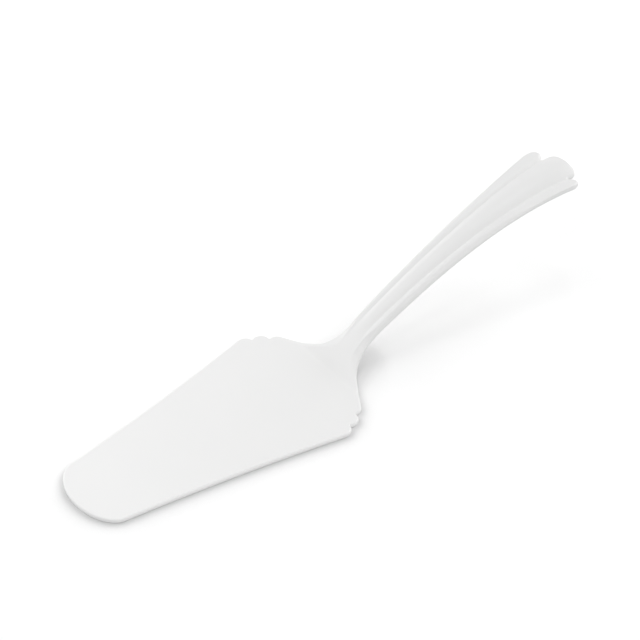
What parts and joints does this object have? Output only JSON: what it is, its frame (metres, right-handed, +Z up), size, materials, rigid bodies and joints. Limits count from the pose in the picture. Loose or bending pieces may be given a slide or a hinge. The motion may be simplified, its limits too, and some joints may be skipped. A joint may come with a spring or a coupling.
{
  "type": "cake server",
  "caption": "White moulded cake server with a flat trowel blade, scalloped rear corners, a raised neck and a fluted handle that ends in lobes.",
  "frame": {"origin": "on the table that the blade lies on, below the middle of the object's length and width", "axes": "+X runs from the blade's tip to the handle's end, +Y to the left seen from the tip towards the handle, +Z up"},
  "size_m": [0.252, 0.0714, 0.0472],
  "materials": {
    "moulding": "glossy"
  },
  "bodies": {
    "root": {"blade": "moulding", "neck": "moulding", "handle": "moulding", "spine_rib": "moulding"}
  },
  "joints": []
}
